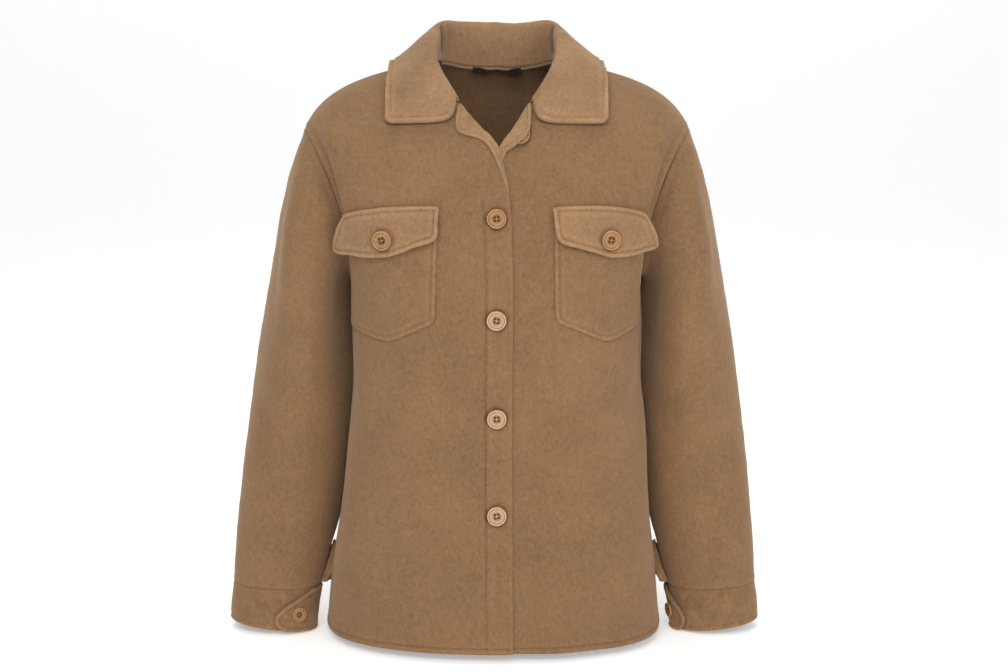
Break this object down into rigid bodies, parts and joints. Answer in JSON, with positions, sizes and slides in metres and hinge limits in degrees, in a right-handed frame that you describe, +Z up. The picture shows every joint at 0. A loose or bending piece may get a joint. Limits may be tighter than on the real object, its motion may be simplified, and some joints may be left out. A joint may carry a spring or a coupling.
{
  "type": "shirt-style pea coat",
  "caption": "Hip-length shirt-style coat of thick brushed cloth, with a pointed collar, buttoned front, flapped chest pockets and buttoned cuffs, in its hollow worn shape.",
  "frame": {"origin": "middle of the neck, at the height where the neck seam crosses the shoulder seams, halfway between the front and the back there", "axes": "+Z up towards the collar, +X to the wearer's left, and the front faces -Y"},
  "size_m": [0.6496, 0.2857, 0.7399],
  "materials": {
    "brushed_cloth": "thick soft cloth with a brushed nap",
    "neck_tape": "plain narrow tape",
    "neck_label": "plain dark woven strip",
    "button": "satin, with a wood-like grain"
  },
  "bodies": {
    "root": {"front_right": "brushed_cloth", "front_left": "brushed_cloth", "back_yoke": "brushed_cloth", "back_right": "brushed_cloth", "back_left": "brushed_cloth", "sleeve_right": "brushed_cloth", "sleeve_left": "brushed_cloth", "cuff_right": "brushed_cloth", "cuff_left": "brushed_cloth", "sleeve_binding_right": "brushed_cloth", "sleeve_binding_left": "brushed_cloth", "collar": "brushed_cloth", "turned_corner_right": "brushed_cloth", "turned_corner_left": "brushed_cloth", "pocket_right": "brushed_cloth", "pocket_left": "brushed_cloth", "flap_right": "brushed_cloth", "flap_left": "brushed_cloth", "neck_tape": "neck_tape", "neck_label": "neck_label", "button_front_1": "button", "button_front_2": "button", "button_front_3": "button", "button_front_4": "button", "button_neck": "button", "button_pocket_right": "button", "button_pocket_left": "button", "button_cuff_right": "button", "button_cuff_left": "button"}
  },
  "joints": []
}
